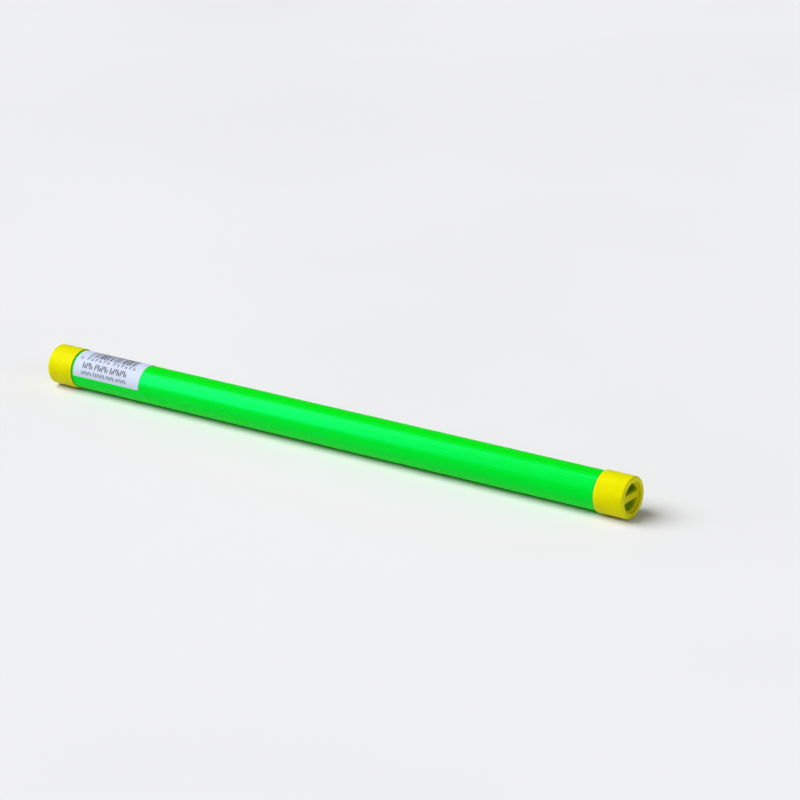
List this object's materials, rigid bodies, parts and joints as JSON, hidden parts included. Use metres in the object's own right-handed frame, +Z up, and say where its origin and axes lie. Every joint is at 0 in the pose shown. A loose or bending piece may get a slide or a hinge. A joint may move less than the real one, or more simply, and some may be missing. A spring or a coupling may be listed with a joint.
{
  "type": "groan tube",
  "caption": "Capped plastic tube with a weighted, reeded plug inside that slides from end to end and groans when the tube is tipped.",
  "frame": {"origin": "middle of the tube's length, on the surface that the end caps rest on", "axes": "+X along the tube from the labelled end to the other end, +Z up, the label faces -Y and up"},
  "size_m": [0.4, 0.024, 0.024],
  "materials": {
    "tube_plastic": "glossy fluorescent green, extruded",
    "cap_plastic": "satin yellow, moulded",
    "label_paper": "matte white sticker",
    "spool_plastic": "matte black, moulded",
    "weight_steel": "turned and zinc plated",
    "seal_foam": "matte closed-cell foam",
    "reed_plastic": "ivory, moulded",
    "tongue_film": "amber film"
  },
  "bodies": {
    "casing": {"tube": "tube_plastic", "left_end_cap": "cap_plastic", "right_end_cap": "cap_plastic", "label": "label_paper"},
    "sounder": {"sounder_spool": "spool_plastic", "sounder_flange": "spool_plastic", "weight_sleeve": "weight_steel", "left_seal": "seal_foam", "right_seal": "seal_foam", "left_reed_trough": "reed_plastic", "left_reed_collar": "reed_plastic", "right_reed_trough": "reed_plastic", "right_reed_collar": "reed_plastic"},
    "left_reed": {"left_reed_tongue": "tongue_film"},
    "right_reed": {"right_reed_tongue": "tongue_film"}
  },
  "joints": [
    {"name": "sounder_slide", "type": "slide", "parent": "casing", "child": "sounder", "axis": [1, 0, 0], "range_m": [0, 0.3454]},
    {"name": "left_reed_flex", "type": "hinge", "parent": "sounder", "child": "left_reed", "pos_m": [-0.188, 0, 0.01225], "axis": [0, -1, 0], "range_deg": [-3.2, 3], "stiffness_Nm_per_rad": 0.003},
    {"name": "right_reed_flex", "type": "hinge", "parent": "sounder", "child": "right_reed", "pos_m": [-0.1574, 0, 0.01225], "axis": [0, 1, 0], "range_deg": [-3.2, 3], "stiffness_Nm_per_rad": 0.003}
  ]
}
